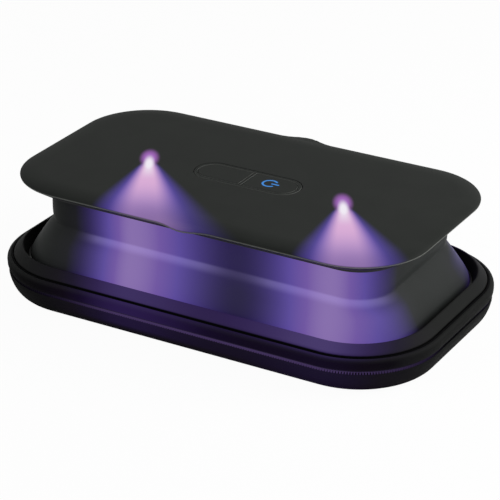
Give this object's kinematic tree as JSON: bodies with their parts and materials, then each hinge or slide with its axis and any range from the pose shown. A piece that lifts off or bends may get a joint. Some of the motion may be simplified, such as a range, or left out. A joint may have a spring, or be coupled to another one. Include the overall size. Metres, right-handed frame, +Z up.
{
  "type": "uv phone sanitizer box",
  "caption": "Zip-round pop-up phone sanitizer box: soft case with hinged lid frame, collapsing rubber wall and a lamp head with a power key on top.",
  "frame": {"origin": "centre of the flat underside of the case", "axes": "+Z up, +X along the long side with the power key on the +X half of the panel, +Y to the hinge at the back"},
  "size_m": [0.204, 0.1214, 0.0556],
  "materials": {
    "case_skin": "satin skin over moulded foam, near black",
    "lining": "reflective grey lining",
    "mat": "soft foam mat",
    "zip_tape": "woven tape",
    "zip_teeth": "nylon teeth",
    "zip_metal": "dark nickel",
    "hinge_fabric": "woven hinge strip",
    "piping": "matt piping cord",
    "clamp_ring": "fine matt",
    "wall_rubber": "smoked translucent silicone",
    "head_cover": "satin charcoal",
    "head_inner": "fine matt",
    "panel": "satin charcoal",
    "symbol_blue": "lit blue light guide",
    "board": "solder mask",
    "switch_body": "stamped cover",
    "battery_foil": "pouch foil",
    "lamp": "ceramic chip lamp",
    "reflector": "bright",
    "quartz": "clear window",
    "steel": "plated",
    "lead_red": "insulated lead",
    "lead_black": "insulated lead"
  },
  "bodies": {
    "base": {"base_shell": "case_skin", "base_liner": "lining", "phone_mat": "mat", "base_zip_tape": "zip_tape", "base_zip_teeth": "zip_teeth", "zip_tail_tape": "zip_tape", "zip_tail_teeth": "zip_teeth", "zip_end_tabs": "zip_tape", "zip_stops": "zip_metal", "hinge_lower": "hinge_fabric"},
    "lid": {"lid_frame": "case_skin", "lid_liner": "lining", "rim_piping": "piping", "lid_zip_tape": "zip_tape", "lid_zip_teeth": "zip_teeth", "hinge_upper": "hinge_fabric", "wall_clamp": "clamp_ring", "pop_wall": "wall_rubber"},
    "head": {"top_cover": "head_cover", "inner_cover": "head_inner", "neck_clamp": "clamp_ring", "control_frame": "panel", "blank_plate": "panel", "main_board": "board", "power_switch": "switch_body", "battery": "battery_foil", "lamp_board_left": "board", "lamp_board_right": "board", "uv_lamp_left": "lamp", "uv_lamp_right": "lamp", "reflector_left": "reflector", "reflector_right": "reflector", "window_left": "quartz", "window_right": "quartz", "usb_socket": "steel", "cover_screws": "steel", "lamp_leads": "lead_red", "battery_leads": "lead_black"},
    "key": {"power_key": "panel", "power_symbol": "symbol_blue"},
    "slider": {"zip_slider": "zip_metal"},
    "pull": {"zip_pull": "zip_metal"}
  },
  "joints": [
    {"name": "lid_hinge", "type": "hinge", "parent": "base", "child": "lid", "pos_m": [0, 0.0593, 0.0103], "axis": [-1, 0, 0], "range_deg": [0, 108]},
    {"name": "pop_up", "type": "slide", "parent": "lid", "child": "head", "axis": [0, 0, 1], "range_m": [-0.03, 0], "deforming": ["pop_wall"]},
    {"name": "key_press", "type": "slide", "parent": "head", "child": "key", "axis": [0, 0, -1], "range_m": [0, 0.0007], "stiffness_N_per_m": 1500, "springref_m": -0.0003},
    {"name": "zip_run", "type": "slide", "parent": "base", "child": "slider", "axis": [1, 0, 0], "range_m": [0, 0.019]},
    {"name": "pull_swing", "type": "hinge", "parent": "slider", "child": "pull", "pos_m": [0.0395, 0.06035, 0.0103], "axis": [0, 0, -1], "range_deg": [0, 180]}
  ]
}
